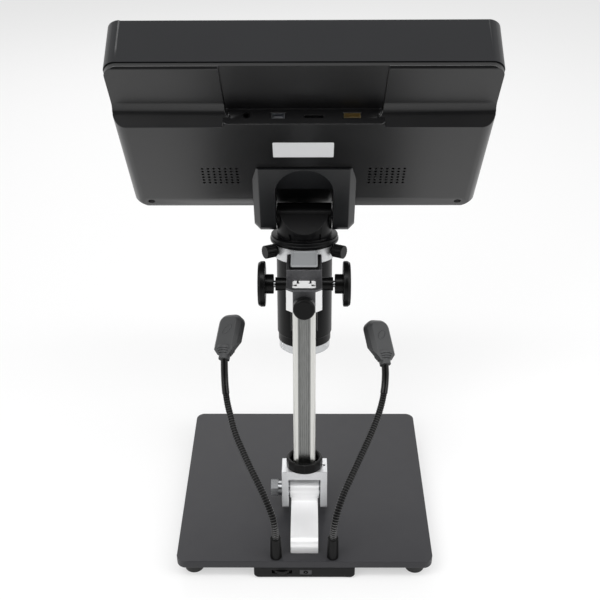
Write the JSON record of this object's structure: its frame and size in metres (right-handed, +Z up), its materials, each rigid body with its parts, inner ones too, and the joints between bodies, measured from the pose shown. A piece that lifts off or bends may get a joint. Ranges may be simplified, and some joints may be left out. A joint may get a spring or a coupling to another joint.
{
  "type": "lcd digital microscope",
  "caption": "Bench digital microscope with a tilting flat screen on a hinged column, rack-and-pinion focus, gooseneck lamps and a weighted base plate.",
  "frame": {"origin": "bottom centre of the bounding box: middle of the width, halfway between the screen's lower front edge and the brightness wheel's rim, on the plane of the feet", "axes": "+Z up, +Y towards the ports and the column's foot, -Y towards the user, +X to the user's left"},
  "size_m": [0.258, 0.2172, 0.3788],
  "materials": {
    "plate_paint": "fine textured black powder coat",
    "foot_rubber": "matt black",
    "dark_plastic": "satin black",
    "socket_metal": "nickel plated",
    "board_green": "solder mask",
    "cast_aluminium": "satin, anodised",
    "column_aluminium": "bright drawn, with ribs",
    "bolt_steel": "zinc plated",
    "hose_black": "ribbed hose in a smooth sleeve",
    "clear_plastic": "clear",
    "led_white": "white boards with lamps",
    "black_metal": "black anodised",
    "speckled_metal": "grey sides and speckled dark top",
    "cap_grey": "light grey",
    "monitor_shell": "satin black",
    "screen_black": "black mirror-like screen",
    "panel_grey": "display panel",
    "jack_black": "black",
    "port_gold": "gold plated"
  },
  "bodies": {
    "base": {"base_plate": "plate_paint", "base_feet": "foot_rubber", "control_box": "dark_plastic", "power_socket": "socket_metal", "driver_board": "board_green", "foot_bracket": "cast_aluminium", "foot_screws": "bolt_steel", "gooseneck_collars": "dark_plastic", "gooseneck_left": "hose_black", "gooseneck_right": "hose_black", "lamp_head_left": "dark_plastic", "lamp_head_right": "dark_plastic", "lamp_lenses": "clear_plastic", "lamp_led_boards": "led_white"},
    "dimmer": {"brightness_wheel": "dark_plastic"},
    "column_body": {"clevis": "cast_aluminium", "hinge_bolt": "bolt_steel", "hinge_washers": "bolt_steel", "hinge_nut": "bolt_steel", "ring_nut": "black_metal", "column": "column_aluminium", "column_screw": "bolt_steel"},
    "carriage": {"clamp_block": "speckled_metal", "shaft_bushings": "dark_plastic"},
    "clamp": {"clamp_knob": "dark_plastic"},
    "focus_drive": {"pinion_shaft": "bolt_steel", "focus_knob_left": "dark_plastic", "focus_knob_right": "dark_plastic"},
    "slide": {"slide_bar": "black_metal", "focus_rack": "bolt_steel", "slide_cap": "cap_grey", "ring_holder": "cast_aluminium"},
    "thumb_left": {"thumb_screw_left": "dark_plastic"},
    "thumb_right": {"thumb_screw_right": "dark_plastic"},
    "thumb_front": {"thumb_screw_front": "dark_plastic"},
    "head": {"head_neck": "black_metal", "barrel": "black_metal", "light_shade": "clear_plastic", "objective_lens": "clear_plastic", "barrel_led_board": "led_white", "sensor_board": "board_green"},
    "monitor": {"monitor_bracket": "monitor_shell", "monitor_pin": "bolt_steel", "back_cover": "monitor_shell", "front_frame": "monitor_shell", "screen_glass": "screen_black", "lcd_panel": "panel_grey", "main_board": "board_green", "audio_jack": "jack_black", "usb_port": "socket_metal", "card_slot": "socket_metal", "video_port": "port_gold", "speakers": "jack_black", "cover_screws": "jack_black", "key_board": "board_green"},
    "power_key": {"button_power": "jack_black"},
    "menu_key": {"button_menu": "jack_black"},
    "capture_key": {"button_capture": "jack_black"},
    "mode_key": {"button_mode": "jack_black"}
  },
  "joints": [
    {"name": "brightness_turn", "type": "hinge", "parent": "base", "child": "dimmer", "pos_m": [0.0167, 0.10013, 0.0064], "axis": [0, 0, 1], "range_deg": [-135, 135]},
    {"name": "column_tilt", "type": "hinge", "parent": "base", "child": "column_body", "pos_m": [0, 0.04933, 0.036], "axis": [-1, 0, 0], "range_deg": [-30, 10]},
    {"name": "carriage_slide", "type": "slide", "parent": "column_body", "child": "carriage", "axis": [0, 0.1736, -0.9848], "range_m": [-0.004, 0.05]},
    {"name": "clamp_turn", "type": "hinge", "parent": "carriage", "child": "clamp", "pos_m": [0, 0.02146, 0.19406], "axis": [0, 0.9848, 0.1736], "range_deg": [0, 360]},
    {"name": "focus_slide", "type": "slide", "parent": "carriage", "child": "slide", "axis": [0, -0.1736, 0.9848], "range_m": [-0.008, 0.018]},
    {"name": "focus_turn", "type": "hinge", "parent": "carriage", "child": "focus_drive", "pos_m": [0, -0.00047, 0.19172], "axis": [1, 0, 0], "range_deg": [-250, 115]},
    {"name": "thumb_left_turn", "type": "hinge", "parent": "slide", "child": "thumb_left", "pos_m": [0, -0.04829, 0.19806], "axis": [0.848, 0.5219, 0.092], "range_deg": [0, 360]},
    {"name": "thumb_right_turn", "type": "hinge", "parent": "slide", "child": "thumb_right", "pos_m": [0, -0.04829, 0.19806], "axis": [-0.848, 0.5219, 0.092], "range_deg": [0, 360]},
    {"name": "thumb_front_turn", "type": "hinge", "parent": "slide", "child": "thumb_front", "pos_m": [0, -0.04829, 0.19806], "axis": [0, -0.9848, -0.1736], "range_deg": [0, 360]},
    {"name": "head_turn", "type": "hinge", "parent": "slide", "child": "head", "pos_m": [0, -0.04716, 0.19161], "axis": [0, -0.1736, 0.9848], "range_deg": [-60, 60]},
    {"name": "monitor_tilt", "type": "hinge", "parent": "head", "child": "monitor", "pos_m": [0, -0.05235, 0.22106], "axis": [1, 0, 0], "range_deg": [-45, 20]},
    {"name": "power_press", "type": "slide", "parent": "monitor", "child": "power_key", "axis": [0, 0.866, -0.5], "range_m": [0, 0.001], "stiffness_N_per_m": 1500},
    {"name": "menu_press", "type": "slide", "parent": "monitor", "child": "menu_key", "axis": [0, 0.866, -0.5], "range_m": [0, 0.001], "stiffness_N_per_m": 1500},
    {"name": "capture_press", "type": "slide", "parent": "monitor", "child": "capture_key", "axis": [0, 0.866, -0.5], "range_m": [0, 0.001], "stiffness_N_per_m": 1500},
    {"name": "mode_press", "type": "slide", "parent": "monitor", "child": "mode_key", "axis": [0, 0.866, -0.5], "range_m": [0, 0.001], "stiffness_N_per_m": 1500}
  ],
  "couplings": [
    {"joint": "focus_turn", "follows": "focus_slide", "rad_per_m": -238.1}
  ]
}
